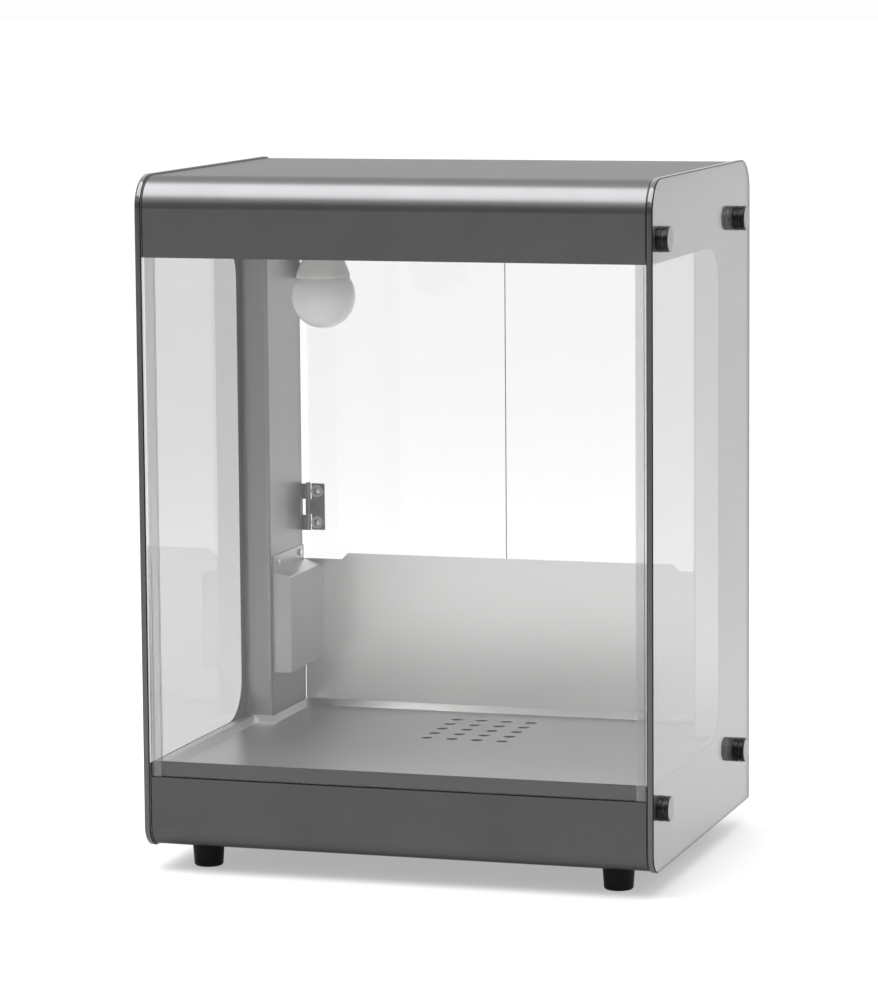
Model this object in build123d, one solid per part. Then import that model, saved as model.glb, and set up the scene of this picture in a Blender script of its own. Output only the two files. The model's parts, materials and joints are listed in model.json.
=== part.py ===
from build123d import *
from math import asin, cos, sin
import os

# A counter-top bakery display case: two large side glasses clamp a painted base and top between them,
# a front glass stands behind their skirts, and two clear doors at the rear open outwards.
# All lengths are in mm. While it is built, Y = 0 is the front edge of the side glasses, X = 0 the
# middle between them, and Z = 0 the counter; save() moves each piece so that the origin is the middle
# of the whole footprint, knobs and door pulls included.

# ------------------------------------------------------------------ driving dimensions
WIDTH = 480.0                 # over the outer faces of the two side glasses
DEPTH = 370.0                 # side glass, front edge to rear edge
GLASS_BOTTOM = 22.5           # the feet lift the side glasses this far
GLASS_HEIGHT = 615.0
SIDE_GLASS = 6.0              # thickness
SHEET = 1.2                   # painted sheet steel and post sheet
FOLD = 3.0                    # outer radius of the folds in the posts
THIN = 1.0                    # stainless linings
PROUD = 1.5                   # the side glass edges stand this far past the painted sheets

TOP_RADIUS = 30.0             # outline radii of the side glass
BOTTOM_RADIUS = 20.0
REAR_BOTTOM_RADIUS = 3.0
PRINT = 0.3                   # printed border on the inner faces of the side glasses
WINDOW = (102.0, 563.6)       # heights between which the side glass is left clear
WINDOW_REAR = 250.0
WINDOW_RADIUS = 38.0

BODY_HALF = 233.0             # half width of the painted top and base sheets
FRAME_HALF = 231.8            # half width of the inner frames that carry the side studs
SKIRT_TOP = 89.0              # top edge of the base skirt
SKIRT_BOTTOM = 563.6          # lower edge of the top skirt
COVER_REAR = 596.0            # lower edge of the top cover at the rear
BASE_TOP = 103.0              # top edge of the inner front wall of the base
CEILING = 566.0               # underside of the ceiling panel
CEILING_REAR = 360.8
FRAME_TOP = 620.0             # upper edge of the ceiling panel's upstands
COVER_SCREWS_X = (-170.0, 0.0, 170.0)
COVER_SCREWS_Y = 364.5

FRONT_WALL = 8.0              # front face of the inner front walls of base and ceiling
FRONT_GLASS = 3.0             # thickness
FRONT_GLASS_FACE = 3.9
FRONT_GLASS_SPAN = (76.0, 577.0)
FRONT_GLASS_HALF = 231.0
CHANNEL_WIDTH = 10.0

STUD_DEPTHS = (20.0, 310.0)   # where the side knobs stand, from the front
STUD_HEIGHTS = (81.0, 585.0)
STUD_RADIUS = 3.0
KNOB_RADIUS = 11.5
KNOB_COLLAR = 5.2             # the knobs stand on the right-hand glass
KNOB_CAP = 5.8
SCREW_HEAD = (8.0, 2.5)       # radius and height of the flat heads on the left-hand glass

POST_FRONT = 261.0            # front faces of the two rear posts
POST_INNER = 207.0            # their inner side faces, from the middle
POST_REAR = 359.2             # rear faces of the posts, where the doors hang
POST_OUTER = 233.4
POST_FOOT = 230.2             # below the tray the posts drop inside the base frame

TRAY_FLOOR = 96.0
TRAY_RIM = 102.0
TRAY_FRONT = 9.6
TRAY_REAR = 363.6
TRAY_STEP = 6.0               # width of the sloping step between rim and floor
HOLE_RADIUS = 6.0
HOLE_PITCH = 24.7
HOLE_COLUMNS = 4
HOLE_ROWS = 5
HOLES_MIDDLE = 268.0          # distance of the perforated field from the front

SILL = 364.0                  # inner face of the low rear wall
SILL_TOP = 241.5
DOOR_FACE = 364.4             # inner face of the doors
DOOR = 4.0                    # clear acrylic
DOOR_SPAN = (244.0, 590.0)
DOOR_HINGE_EDGE = 202.3       # in line with the hinge pins
DOOR_GAP = 1.5                # between the two doors
DOOR_KNOB = (-22.0, 548.0)    # centre of the left door's pull: x, z
DOOR_KNOB_HEIGHT = 10.0

HINGE_X = 202.3
HINGE_RADIUS = 2.6
PIN_RADIUS = 1.2
PIN_PLAY = 0.05
LEAF = 1.2
LEAF_HEIGHT = 46.0
LEAF_FROM_END = 49.0          # middle of each hinge from the door's top or bottom edge
LEAF_REACH = 16.4             # from the pin to the far edge of a leaf
SCREW_FROM_PIN = 8.8
SCREW_SPACING = 31.0
WASHER_RADIUS = 6.0
WASHER = 1.0

LAMP = (-124.0, 185.0)        # the lamp hangs left of the middle, half way back
BULB_BOTTOM = 486.0
GLOBE_RADIUS = 30.0
SEAM = 533.0                  # between the opal globe and the white collar
CAP_LOW = 569.0               # where the bulb's screw cap starts
HOLDER_RADIUS = 20.0
LEAD_RISE = (-218.0, 310.0)   # where the lamp's lead climbs, inside the left post
LEAD_LOW = 46.0
COVER_FLANGE_SCREWS_Y = (280.0, 345.0)
COVER_FLANGE_SCREWS_Z = 250.0

DRAWER_HALF = 108.0
DRAWER_FRONT_EDGE = 130.0
DRAWER_SPAN = (42.0, 82.0)
SWITCH = (-142.0, 62.0)       # centre in the rear panel: x, z
INLET = (-178.0, 62.0)
SWITCH_PIVOT = 359.5          # depth of the rocker's axle
SWITCH_TILT = 10.0

FOOT_X = 195.5
FOOT_Y = 48.0
FOOT_TOP_RADIUS = 14.7
FOOT_BOTTOM_RADIUS = 13.3

HALF = WIDTH / 2
GLASS_INNER = HALF - SIDE_GLASS
GLASS_TOP = GLASS_BOTTOM + GLASS_HEIGHT
PAN_BOTTOM = GLASS_BOTTOM + PROUD
PAN_FLOOR = PAN_BOTTOM + SHEET
DOOR_REAR = DOOR_FACE + DOOR
HINGE_Y = POST_REAR + HINGE_RADIUS
DRAWER_FACE = SILL + THIN + 0.4
OVERALL_DEPTH = DOOR_REAR + DOOR_KNOB_HEIGHT
OFF_MIDDLE = (KNOB_COLLAR + KNOB_CAP - SCREW_HEAD[1]) / 2     # the knobs reach further out than the heads
HINGE_MIDDLES = (DOOR_SPAN[0] + LEAF_FROM_END, DOOR_SPAN[1] - LEAF_FROM_END)
FOOT_SPOTS = [(x, y) for x in (-FOOT_X, FOOT_X) for y in (FOOT_Y, DEPTH - FOOT_Y)]
STUD_SPOTS = [(y, z) for y in STUD_DEPTHS for z in STUD_HEIGHTS]


# ------------------------------------------------------------------ helpers
def block(x, y, z):
    """A box between pairs of x, y and z."""
    size = [high - low for low, high in (x, y, z)]
    middle = [(low + high) / 2 for low, high in (x, y, z)]
    return Pos(*middle) * Box(*size)


def rod(axis, radius, span, at):
    """A round bar along one axis; at holds its two other coordinates in X, Y, Z order."""
    length = span[1] - span[0]
    middle = (span[0] + span[1]) / 2
    if axis == "x":
        return Pos(middle, *at) * Rot(0, 90, 0) * Cylinder(radius, length)
    if axis == "y":
        return Pos(at[0], middle, at[1]) * Rot(90, 0, 0) * Cylinder(radius, length)
    return Pos(at[0], at[1], middle) * Cylinder(radius, length)


def outline(y, z, radii):
    """A rectangle in the Y-Z plane; radii maps a corner, as (y end, z end), to its radius."""
    face = Pos((y[0] + y[1]) / 2, (z[0] + z[1]) / 2) * Rectangle(y[1] - y[0], z[1] - z[0])
    for (y_end, z_end), radius in radii.items():
        corner = face.vertices().sort_by_distance((y[y_end], z[z_end], 0))[0]
        face = fillet(corner, radius)
    return face


def slab(face, x):
    """Extrude a Y-Z outline between two values of x."""
    return Pos(x[0], 0, 0) * extrude(Plane.YZ * face, amount=x[1] - x[0])


def turned(points, at):
    """Revolve a closed outline of (radius, z) points about the vertical through at."""
    face = make_face(Polyline(*[(r, 0, z) for r, z in points], close=True))
    return Pos(at[0], at[1], 0) * revolve(face, axis=Axis.Z)


def group(parts):
    """Several separate solids in one piece."""
    return Compound([solid for part in parts for solid in part.solids()])


def mirrored(part):
    """The same piece on the other side."""
    return mirror(part, about=Plane.YZ)


def save(name, part):
    export_step(Pos(-OFF_MIDDLE, -OVERALL_DEPTH / 2, 0) * part, f"parts/{name}.step")


# ------------------------------------------------------------------ glass
def side_glass():
    radii = {(0, 1): TOP_RADIUS, (1, 1): TOP_RADIUS, (0, 0): BOTTOM_RADIUS, (1, 0): REAR_BOTTOM_RADIUS}
    face = outline((0, DEPTH), (GLASS_BOTTOM, GLASS_TOP), radii)
    part = slab(face, (-HALF, -GLASS_INNER))
    for spot in STUD_SPOTS:
        part -= rod("x", STUD_RADIUS + 0.5, (-HALF - 1, -GLASS_INNER + 1), spot)
    return chamfer(part.edges().filter_by(Plane.YZ).filter_by(GeomType.LINE), 0.5)


def side_print():
    """The printed border: a wide band above, below and behind, and a clear window out to the front."""
    inset = 1.0
    radii = {(0, 1): TOP_RADIUS - inset, (1, 1): TOP_RADIUS - inset, (0, 0): BOTTOM_RADIUS - inset}
    face = outline((inset, DEPTH - inset), (GLASS_BOTTOM + inset, GLASS_TOP - inset), radii)
    face -= outline((-5, WINDOW_REAR), WINDOW, {(1, 0): WINDOW_RADIUS, (1, 1): WINDOW_RADIUS})
    part = slab(face, (-GLASS_INNER, -GLASS_INNER + PRINT))
    for spot in STUD_SPOTS:
        part -= rod("x", STUD_RADIUS + 0.5, (-HALF, -GLASS_INNER + 1), spot)
    return part


def front_glass():
    face = (FRONT_GLASS_FACE, FRONT_GLASS_FACE + FRONT_GLASS)
    part = block((-FRONT_GLASS_HALF, FRONT_GLASS_HALF), face, FRONT_GLASS_SPAN)
    return chamfer(part.edges().filter_by(Axis.Z), 0.3)


def glass_channel():
    """A clear U-profile between the edge of the front glass and the side glass."""
    wall = 0.8
    x = (-GLASS_INNER + 0.5, -GLASS_INNER + 0.5 + CHANNEL_WIDTH)
    y = (FRONT_GLASS_FACE - 0.1 - wall, FRONT_GLASS_FACE + FRONT_GLASS + 0.1 + wall)
    part = block(x, y, FRONT_GLASS_SPAN)
    groove = (y[0] + wall, y[1] - wall)
    return part - block((x[0] + 1.0, x[1] + 1.0), groove, (0, GLASS_TOP))


# ------------------------------------------------------------------ painted top and base
def top_cover():
    """One sheet bent over the top: front skirt, round edge, flat top, round edge, rear skirt, return."""
    outer_y = (PROUD, DEPTH - PROUD)
    inner_y = (outer_y[0] + SHEET, outer_y[1] - SHEET)
    top = GLASS_TOP - PROUD
    outer_bend = TOP_RADIUS - PROUD
    inner_bend = outer_bend - SHEET
    face = outline(outer_y, (SKIRT_BOTTOM, top), {(0, 1): outer_bend, (1, 1): outer_bend})
    face -= outline(inner_y, (SKIRT_BOTTOM - 5, top - SHEET), {(0, 1): inner_bend, (1, 1): inner_bend})
    part = slab(face, (-BODY_HALF, BODY_HALF))
    part -= block((-HALF, HALF), (DEPTH / 2, DEPTH), (0, COVER_REAR))
    part += block((-BODY_HALF, BODY_HALF), (CEILING_REAR + 0.6, inner_y[1] + 0.5), (COVER_REAR, COVER_REAR + SHEET))
    for x in COVER_SCREWS_X:
        part -= rod("z", 2.0, (COVER_REAR - 5, COVER_REAR + 5), (x, COVER_SCREWS_Y))
    return part


def cover_screws():
    return group(
        rod("z", 1.75, (COVER_REAR, COVER_REAR + 8), (x, COVER_SCREWS_Y))
        + rod("z", 3.4, (COVER_REAR - 2.0, COVER_REAR), (x, COVER_SCREWS_Y))
        for x in COVER_SCREWS_X
    )


def ceiling_panel():
    """A tray with upstands, hanging between the side glasses under the top cover."""
    rear = CEILING_REAR
    part = block((-FRAME_HALF, FRAME_HALF), (FRONT_WALL, rear), (CEILING, FRAME_TOP))
    part -= block(
        (-FRAME_HALF + SHEET, FRAME_HALF - SHEET),
        (FRONT_WALL + SHEET, rear - SHEET),
        (CEILING + SHEET, FRAME_TOP + 5),
    )
    lip = COVER_REAR + SHEET + 0.2
    part -= block((-FRAME_HALF + SHEET, FRAME_HALF - SHEET), (rear - 5, DEPTH), (lip + SHEET, FRAME_TOP + 5))
    part += block((-FRAME_HALF, FRAME_HALF), (rear - SHEET, COVER_SCREWS_Y + 2.5), (lip, lip + SHEET))
    for x in COVER_SCREWS_X:
        part -= rod("z", 1.8, (lip - 5, lip + 5), (x, COVER_SCREWS_Y))
    part -= rod("z", HOLDER_RADIUS + 0.4, (CEILING - 5, CEILING + 10), LAMP)
    part -= rod("z", 6.0, (CEILING - 5, CEILING + 10), LEAD_RISE)
    for y in STUD_DEPTHS:
        part -= rod("x", STUD_RADIUS + 0.2, (-HALF, HALF), (y, STUD_HEIGHTS[1]))
    return part


def base_shell():
    """The painted base: front skirt, round lower edge, bottom pan and a low rear upstand."""
    outer_y = (PROUD, DEPTH - PROUD)
    inner_y = (outer_y[0] + SHEET, outer_y[1] - SHEET)
    bend = BOTTOM_RADIUS - PROUD
    face = outline(outer_y, (PAN_BOTTOM, SKIRT_TOP), {(0, 0): bend, (1, 0): 3.0})
    face -= outline(inner_y, (PAN_FLOOR, SKIRT_TOP + 5), {(0, 0): bend - SHEET, (1, 0): 1.8})
    part = slab(face, (-BODY_HALF, BODY_HALF))
    part -= block((-HALF, HALF), (DEPTH / 2, DEPTH), (36.0, SKIRT_TOP + 5))
    for spot in FOOT_SPOTS:
        part -= rod("z", 2.6, (PAN_BOTTOM - 5, PAN_FLOOR + 5), spot)
    return part


def base_frame():
    """The inner frame of the base: front wall, glass ledge and two side walls, standing on the pan."""
    inner = FRAME_HALF - SHEET
    low = PAN_FLOOR
    side_top = TRAY_RIM - THIN
    part = block((-FRAME_HALF, FRAME_HALF), (FRONT_WALL, FRONT_WALL + SHEET), (low + 20, BASE_TOP))
    part += block((-FRAME_HALF, FRAME_HALF), (FRONT_WALL, 30.0), (low + 20, low + 20 + SHEET))
    ledge = FRONT_GLASS_SPAN[0]
    part += block((-FRAME_HALF, FRAME_HALF), (3.0, FRONT_WALL), (ledge - SHEET, ledge))
    for x in ((-FRAME_HALF, -inner), (inner, FRAME_HALF)):
        part += block(x, (FRONT_WALL + SHEET, 30.0), (low + 20, side_top))
        part += block(x, (30.0, SILL - SHEET), (low, side_top))
    for y in STUD_DEPTHS:
        part -= rod("x", STUD_RADIUS + 0.2, (-HALF, HALF), (y, STUD_HEIGHTS[0]))
    return part


# ------------------------------------------------------------------ stainless inner parts
def rear_post():
    """A folded upright, open towards the side glass, that hides the wiring and carries the hinges.

    Beside the low rear wall it is deeper, so that the wall closes against it.
    """
    sill_rear = SILL + THIN
    part = upright(POST_REAR, (SILL_TOP - SHEET, CEILING)) + upright(sill_rear, (PAN_FLOOR, SILL_TOP))
    cap = post_section(sill_rear, (SILL_TOP - SHEET, SILL_TOP))
    part += cap - block((-HALF, 0), (0, POST_REAR - SHEET), (0, GLASS_TOP))
    part -= block((-HALF, -POST_FOOT), (0, DEPTH), (0, BASE_TOP))
    part -= block((-HALF, -231.0), (POST_FRONT + 5, DEPTH), (0, GLASS_TOP))
    for z in HINGE_MIDDLES:
        for dz in (-SCREW_SPACING / 2, SCREW_SPACING / 2):
            part -= rod("y", 1.8, (POST_REAR - 5, POST_REAR + 5), (-HINGE_X - SCREW_FROM_PIN, z + dz))
    return part


def upright(rear, z):
    """A U-section: front face, inner side face and rear return, with round folds."""
    return post_section(rear, z) - post_section(rear, (z[0] - 1, z[1] + 1), SHEET)


def post_section(rear, z, inside=0.0):
    """The post's outer outline, or its hollow when it is drawn in by the sheet."""
    outer = -HALF if inside else -POST_OUTER
    part = block((outer, -POST_INNER - inside), (POST_FRONT + inside, rear - inside), z)
    return fillet(part.edges().filter_by(Axis.Z).sort_by(Axis.X)[-2:], FOLD - inside)


def left_rear_post():
    part = rear_post()
    part -= rod("x", 5.0, (-POST_INNER - 5, -POST_INNER + 5), (LEAD_RISE[1], LEAD_LOW))
    for y in COVER_FLANGE_SCREWS_Y:
        part -= rod("x", 1.6, (-POST_INNER - 5, -POST_INNER + 5), (y, COVER_FLANGE_SCREWS_Z))
    return part


def wiring_cover():
    """A folded box on the left post with a sloping top and a screwed flange above it."""
    y = (267.0, SILL - 0.2)
    inner = -POST_INNER
    reach = -188.5
    low = 143.5
    high = 241.1
    drop = 3.8
    shape = [(inner, low), (reach, low), (reach, high - drop), (inner, high)]
    hollow = [(inner - 5, low + THIN), (reach - THIN, low + THIN), (reach - THIN, high - drop - THIN),
              (inner - 5, high - THIN + 1.2)]
    part = round_far_edges(profile_along_y(shape, y), 2.2)
    part -= round_far_edges(profile_along_y(hollow, (y[0] + THIN, y[1] - THIN)), 2.2 - THIN)
    part += block((inner, inner + THIN), (y[0] + 1, POST_REAR - 2.0), (high - THIN, high + 15.0))
    for screw_y in COVER_FLANGE_SCREWS_Y:
        part -= rod("x", 1.8, (inner - 5, inner + 5), (screw_y, COVER_FLANGE_SCREWS_Z))
    return part


def round_far_edges(part, radius):
    """Round the two long edges that stand furthest to the right."""
    return fillet(part.edges().filter_by(Axis.Y).sort_by(Axis.X)[-2:], radius)


def profile_along_y(points, y):
    """Extrude a closed outline of (x, z) points between two values of y."""
    face = make_face(Polyline(*[(x, y[0], z) for x, z in points], close=True))
    return extrude(face, amount=y[1] - y[0], dir=(0, 1, 0))


def wiring_cover_screws():
    head = -POST_INNER + THIN
    return group(
        rod("x", 1.5, (head - 6, head), (y, COVER_FLANGE_SCREWS_Z))
        + rod("x", 3.2, (head, head + 1.8), (y, COVER_FLANGE_SCREWS_Z))
        for y in COVER_FLANGE_SCREWS_Y
    )


def rear_panel():
    """The low rear wall: a door sill above, and drawer, switch and inlet cut-outs below."""
    part = block((-POST_INNER, POST_INNER), (SILL, SILL + THIN), (PAN_FLOOR, SILL_TOP))
    part += block((-POST_INNER, POST_INNER), (SILL, SILL + 5.0), (SILL_TOP - THIN, SILL_TOP))
    cut = (SILL - 5, SILL + THIN + 1)
    part -= block((-DRAWER_HALF - 2, DRAWER_HALF + 2), cut, (DRAWER_SPAN[0] - 2, DRAWER_SPAN[1] + 2))
    part -= block((SWITCH[0] - 7.1, SWITCH[0] + 7.1), cut, (SWITCH[1] - 10.3, SWITCH[1] + 10.3))
    part -= block((INLET[0] - 13.6, INLET[0] + 13.6), cut, (INLET[1] - 10.0, INLET[1] + 10.0))
    return part


def door_stop():
    """A strip along the top of the low wall that the doors close against; its ends are bevelled."""
    half, low, high, bevel = 168.0, 234.0, 248.0, 6.0
    shape = [(-half, low), (half, low), (half, high - bevel), (half - bevel, high),
             (-half + bevel, high), (-half, high - bevel)]
    return profile_along_y(shape, (SILL - 1.4, SILL))


def tray_outline(margin, z):
    """The floor tray's plan, notched round the two rear posts and drawn in by a margin."""
    wide = FRAME_HALF - 5.8 - margin
    narrow = POST_INNER - 0.6 - margin
    notch = POST_FRONT - 0.6 - margin
    front, rear = TRAY_FRONT + margin, TRAY_REAR - margin
    points = [(-wide, front), (wide, front), (wide, notch), (narrow, notch), (narrow, rear),
              (-narrow, rear), (-narrow, notch), (-wide, notch)]
    return make_face(Polyline(*[(x, y, z) for x, y in points], close=True))


def floor_tray():
    """The shelf floor: a shallow pan with sloping steps, rims at the sides, and a field of holes."""
    part = loft([tray_outline(TRAY_STEP, TRAY_FLOOR - THIN), tray_outline(0, TRAY_RIM)], ruled=True)
    hollow = loft([tray_outline(TRAY_STEP + THIN, TRAY_FLOOR), tray_outline(THIN, TRAY_RIM)], ruled=True)
    part -= hollow
    edge = FRAME_HALF - 5.8
    for x in ((-GLASS_INNER + 1.4, -edge + 0.8), (edge - 0.8, GLASS_INNER - 1.4)):
        part += block(x, (TRAY_FRONT, POST_FRONT - 0.6), (TRAY_RIM - THIN, TRAY_RIM))
    for column in range(HOLE_COLUMNS):
        for row in range(HOLE_ROWS):
            x = (column - (HOLE_COLUMNS - 1) / 2) * HOLE_PITCH
            y = HOLES_MIDDLE + (row - (HOLE_ROWS - 1) / 2) * HOLE_PITCH
            part -= rod("z", HOLE_RADIUS, (TRAY_FLOOR - 5, TRAY_FLOOR + 5), (x, y))
    return part


# ------------------------------------------------------------------ doors, seen on the left
def door_panel():
    x = (-DOOR_HINGE_EDGE, -DOOR_GAP / 2)
    part = block(x, (DOOR_FACE, DOOR_REAR), DOOR_SPAN)
    part = fillet(part.edges().filter_by(Axis.Y), 2.0)
    for spot in door_screw_spots():
        part -= rod("y", 2.0, (DOOR_FACE - 5, DOOR_REAR + 5), spot)
    return part - rod("y", 2.0, (DOOR_FACE - 5, DOOR_REAR + 5), DOOR_KNOB)


def door_screw_spots():
    x = -HINGE_X + SCREW_FROM_PIN
    return [(x, z + dz) for z in HINGE_MIDDLES for dz in (-SCREW_SPACING / 2, SCREW_SPACING / 2)]


def knuckle(z):
    return rod("z", HINGE_RADIUS, z, (-HINGE_X, HINGE_Y))


def pin_bore(z):
    return rod("z", PIN_RADIUS + PIN_PLAY, (z - LEAF_HEIGHT, z + LEAF_HEIGHT), (-HINGE_X, HINGE_Y))


def door_leaf(z):
    """The leaf on the door: a plate on its inner face and the middle knuckle."""
    third = LEAF_HEIGHT / 6
    y = (DOOR_FACE - LEAF, DOOR_FACE)
    plate = (-HINGE_X + HINGE_RADIUS + 0.5, -HINGE_X + LEAF_REACH)
    part = block(plate, y, (z - LEAF_HEIGHT / 2, z + LEAF_HEIGHT / 2))
    part += block((-HINGE_X, plate[1]), y, (z - third + 0.2, z + third - 0.2))
    part += knuckle((z - third + 0.2, z + third - 0.2))
    part -= pin_bore(z)
    for spot in door_screw_spots():
        part -= rod("y", 2.0, (y[0] - 1, y[1] + 1), spot)
    return part


def frame_leaf(z):
    """The leaf on the post: a plate on its rear face and the two outer knuckles."""
    third = LEAF_HEIGHT / 6
    half = LEAF_HEIGHT / 2
    y = (POST_REAR, POST_REAR + LEAF)
    part = block((-HINGE_X - LEAF_REACH, -POST_INNER - 0.4), y, (z - half, z + half))
    for span in ((z - half, z - third - 0.2), (z + third + 0.2, z + half)):
        part += block((-HINGE_X - LEAF_REACH, -HINGE_X), y, span)
        part += knuckle(span)
    part -= pin_bore(z)
    for dz in (-SCREW_SPACING / 2, SCREW_SPACING / 2):
        part -= countersunk((-HINGE_X - SCREW_FROM_PIN, z + dz), y[1], 0.05)
    return part


def hinge_pins():
    half = LEAF_HEIGHT / 2
    return group(
        rod("z", PIN_RADIUS, (z - half, z + half), (-HINGE_X, HINGE_Y))
        + rod("z", PIN_RADIUS + 0.9, (z + half, z + half + 1.0), (-HINGE_X, HINGE_Y))
        for z in HINGE_MIDDLES
    )


def door_screws():
    """Dome-headed screws on washers inside, with their ends in the nuts outside."""
    washer = (DOOR_FACE - LEAF - WASHER, DOOR_FACE - LEAF)
    parts = []
    for spot in door_screw_spots():
        parts.append(rod("y", WASHER_RADIUS, washer, spot) - rod("y", 2.0, (washer[0] - 1, washer[1] + 1), spot))
        parts.append(rod("y", 1.95, (washer[0], DOOR_REAR + 2.6), spot) + dome(spot, washer[0]))
    return group(parts)


def dome(spot, y):
    """A shallow domed head standing forward of y."""
    radius, height = 3.6, 1.8
    ball = (radius ** 2 + height ** 2) / (2 * height)
    half_angle = asin(radius / ball) / 2
    middle = (ball * sin(half_angle), ball - height - ball * cos(half_angle))
    arc = ThreePointArc((radius, 0), middle, (0, -height))
    face = make_face(arc + Line((0, -height), (0, 0)) + Line((0, 0), (radius, 0)))
    return Pos(spot[0], y, spot[1]) * revolve(face, axis=Axis.Y)


def door_nuts():
    y = DOOR_REAR
    nuts = []
    for x, z in door_screw_spots():
        nut = extrude(Plane.XZ * RegularPolygon(3.8, 6), amount=-2.4)
        nuts.append(Pos(x, y, z) * nut - rod("y", 2.0, (y - 1, y + 5), (x, z)))
    return group(nuts)


def countersunk(spot, y, play=0.0):
    """A screw whose flat head is flush at y, pointing forwards."""
    shape = [(0, 0), (3.4 + play, 0), (1.75 + play, -LEAF), (1.75 + play, -7.0), (0, -7.0)]
    face = make_face(Polyline(*[(r, dy, 0) for r, dy in shape], close=True))
    return Pos(spot[0], y, spot[1]) * revolve(face, axis=Axis.Y)


def hinge_frame_screws():
    spots = [(-HINGE_X - SCREW_FROM_PIN, z) for _, z in door_screw_spots()]
    left = [countersunk(spot, POST_REAR + LEAF) for spot in spots]
    return group(left + [mirrored(screw) for screw in left])


def door_knob():
    """A small turned pull near the top of the door, with its screw from the inside."""
    top = DOOR_KNOB_HEIGHT
    shape = [(0, 0), (5.0, 0), (4.0, 3.0), (4.4, 5.0), (8.0, 6.6), (8.0, top - 1.4), (7.0, top), (0, top)]
    face = make_face(Polyline(*[(r, y, 0) for r, y in shape], close=True))
    knob = revolve(face, axis=Axis.Y)
    x, z = DOOR_KNOB
    knob = Pos(x, DOOR_REAR, z) * knob
    return knob + rod("y", 1.95, (DOOR_FACE, DOOR_REAR), DOOR_KNOB) + dome(DOOR_KNOB, DOOR_FACE)


def door_strike():
    """The steel plate that the magnet holds, on the inner face at the top corner."""
    return block((-58.0, -34.0), (DOOR_FACE - 0.7, DOOR_FACE), (553.0, 565.0))


def door_magnets():
    left = block((-60.0, -32.0), (DOOR_FACE - 15.0, DOOR_FACE - 1.1), (552.0, CEILING))
    left = fillet(left.edges().filter_by(Axis.Y).sort_by(Axis.Z)[:2], 2.0)
    return group([left, mirrored(left)])


# ------------------------------------------------------------------ side fixings
def knob_caps():
    x = HALF + KNOB_COLLAR
    caps = []
    for spot in STUD_SPOTS:
        cap = rod("x", KNOB_RADIUS, (x + 1.0, x + KNOB_CAP), spot)
        cap = chamfer(cap.edges().sort_by(Axis.X)[-1], 0.7)
        cap += rod("x", KNOB_RADIUS - 1.6, (x, x + 1.2), spot)
        caps.append(cap - rod("x", STUD_RADIUS + 0.05, (x - 1, x + 3.5), spot))
    return group(caps)


def knob_collars():
    collars = []
    for spot in STUD_SPOTS:
        collar = rod("x", KNOB_RADIUS, (HALF, HALF + KNOB_COLLAR), spot)
        collar = chamfer(collar.edges().filter_by(GeomType.CIRCLE), 0.4)
        collars.append(collar - rod("x", STUD_RADIUS + 0.05, (0, HALF + 20), spot))
    return group(collars)


def knob_studs():
    span = (FRAME_HALF - SHEET - 6.4, HALF + KNOB_COLLAR + 3.5)
    return group(rod("x", STUD_RADIUS, span, spot) for spot in STUD_SPOTS)


def glass_screws():
    """Flat-headed screws that hold the left-hand glass."""
    radius, height = SCREW_HEAD
    screws = []
    for spot in STUD_SPOTS:
        head = rod("x", radius, (-HALF - height, -HALF), spot)
        head = fillet(head.edges().sort_by(Axis.X)[0], 1.2)
        socket = Pos(-HALF - height, *spot) * extrude(Plane.YZ * RegularPolygon(2.3, 6), amount=1.6)
        shank = rod("x", STUD_RADIUS, (-HALF, -FRAME_HALF + SHEET + 6.4), spot)
        screws.append(head - socket + shank)
    return group(screws)


def side_nuts():
    x = -FRAME_HALF + SHEET
    left = []
    for y, z in STUD_SPOTS:
        nut = extrude(Plane.YZ * RegularPolygon(5.77, 6), amount=5.0)
        left.append(Pos(x, y, z) * nut - rod("x", STUD_RADIUS + 0.05, (x - 1, x + 10), (y, z)))
    return group(left + [mirrored(nut) for nut in left])


# ------------------------------------------------------------------ lamp and wiring
def bulb_diffuser():
    """An opal globe, open at the seam."""
    middle = BULB_BOTTOM + GLOBE_RADIUS
    at = Pos(LAMP[0], LAMP[1], middle)
    part = at * Sphere(GLOBE_RADIUS) - at * Sphere(GLOBE_RADIUS - 1.2)
    return part - block((-HALF, 0), (0, DEPTH), (SEAM, GLASS_TOP))


def bulb_body():
    middle = BULB_BOTTOM + GLOBE_RADIUS
    seam_radius = (GLOBE_RADIUS ** 2 - (SEAM - middle) ** 2) ** 0.5
    shape = [(0, SEAM), (seam_radius, SEAM), (seam_radius + 0.6, SEAM + 2), (22.6, SEAM + 10),
             (18.6, SEAM + 20), (15.6, SEAM + 30), (14.0, CAP_LOW), (0, CAP_LOW)]
    return turned(shape, LAMP)


def bulb_cap():
    turns, pitch, outer, root = 6, 3.6, 13.1, 12.2
    shape = [(0, CAP_LOW), (outer, CAP_LOW)]
    for turn in range(turns):
        z = CAP_LOW + 0.8 + turn * pitch
        shape += [(root, z + pitch / 2), (outer, z + pitch)]
    top = CAP_LOW + 0.8 + turns * pitch
    shape += [(8.0, top + 1.5), (5.0, top + 2.5), (4.6, top + 4.0), (0, top + 4.0)]
    return turned(shape, LAMP)


def lamp_holder():
    shape = [(0, 599), (13.6, 599), (13.6, 569.5), (18.6, 567), (18.6, 560), (HOLDER_RADIUS, 560),
             (HOLDER_RADIUS, 598), (14.0, 606), (0, 606)]
    return turned(shape, LAMP)


def lamp_holder_ring():
    ring = rod("z", 27.0, (CEILING - 5, CEILING), LAMP)
    ring = fillet(ring.edges().sort_by(Axis.Z)[0], 1.5)
    return ring - rod("z", HOLDER_RADIUS + 0.1, (CEILING - 10, CEILING + 5), LAMP)


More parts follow.
